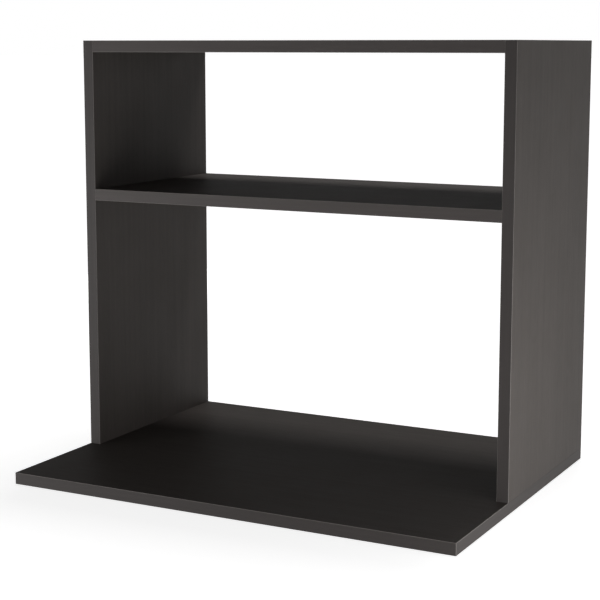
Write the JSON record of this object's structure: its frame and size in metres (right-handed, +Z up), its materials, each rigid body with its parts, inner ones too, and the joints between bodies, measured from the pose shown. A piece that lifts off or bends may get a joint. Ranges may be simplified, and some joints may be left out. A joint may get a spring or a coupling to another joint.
{
  "type": "microwave niche shelf",
  "caption": "Open-backed worktop niche of dark board: a deep base for a microwave, side panels, a middle shelf and a top panel.",
  "frame": {"origin": "middle of the underside of the base board, on the surface it stands on", "axes": "+Z up, +Y towards the open back, +X towards the user's right when facing the niche"},
  "size_m": [0.6, 0.45, 0.558],
  "materials": {
    "melamine_board": "satin graphite melamine on particle board, rear edges raw",
    "edge_band": "satin graphite edge band",
    "zinc": "die-cast zinc, dull",
    "zinc_plated_steel": "bright zinc plate",
    "beech": "raw beech"
  },
  "bodies": {
    "root": {"base_panel": "melamine_board", "left_side_panel": "melamine_board", "right_side_panel": "melamine_board", "top_panel": "melamine_board", "middle_shelf": "melamine_board", "base_front_band": "edge_band", "base_left_band": "edge_band", "base_right_band": "edge_band", "left_side_front_band": "edge_band", "right_side_front_band": "edge_band", "left_side_top_band": "edge_band", "right_side_top_band": "edge_band", "top_front_band": "edge_band", "shelf_front_band": "edge_band", "top_cam_locks": "zinc", "shelf_cam_locks": "zinc", "top_cam_bolts": "zinc_plated_steel", "shelf_cam_bolts": "zinc_plated_steel", "base_left_screws": "zinc_plated_steel", "base_right_screws": "zinc_plated_steel", "top_left_dowels": "beech", "top_right_dowels": "beech", "shelf_left_dowels": "beech", "shelf_right_dowels": "beech"}
  },
  "joints": []
}
